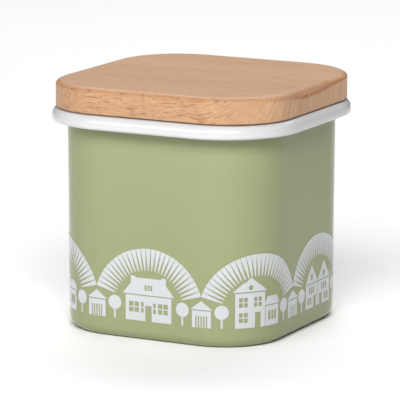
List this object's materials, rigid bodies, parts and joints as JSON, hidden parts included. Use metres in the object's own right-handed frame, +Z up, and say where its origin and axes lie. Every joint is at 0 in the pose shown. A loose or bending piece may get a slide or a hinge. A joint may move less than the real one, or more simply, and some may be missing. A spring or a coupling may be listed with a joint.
{
  "type": "lidded storage canister",
  "caption": "Rounded-square enamelled steel canister with a rolled white rim, a printed white frieze and a lift-off wooden lid with a plug and seal.",
  "frame": {"origin": "middle of the flat ring that the canister stands on", "axes": "+Z up through the mouth, -Y towards the front side, +X to the right; the lid's staves run along X"},
  "size_m": [0.125, 0.125, 0.1181],
  "materials": {
    "steel": "deep-drawn sheet, covered by enamel all over",
    "green_enamel": "glossy sage green vitreous enamel",
    "white_enamel": "glossy white vitreous enamel",
    "white_print": "fired-on off-white print, glossy",
    "beech": "oiled beech, fine short ray flecks",
    "silicone": "soft translucent white silicone"
  },
  "bodies": {
    "tub": {"steel_tub": "steel", "outer_enamel": "green_enamel", "base_enamel": "green_enamel", "inner_enamel": "white_enamel", "rim_enamel": "white_enamel", "printed_fans": "white_print", "printed_houses": "white_print"},
    "lid": {"lid_stave_1": "beech", "lid_stave_2": "beech", "lid_stave_3": "beech", "lid_stave_4": "beech", "lid_stave_5": "beech", "seal_ring": "silicone"}
  },
  "joints": [
    {"name": "lid_lift", "type": "slide", "parent": "tub", "child": "lid", "axis": [0, 0, 1], "range_m": [0, 0.06]}
  ]
}
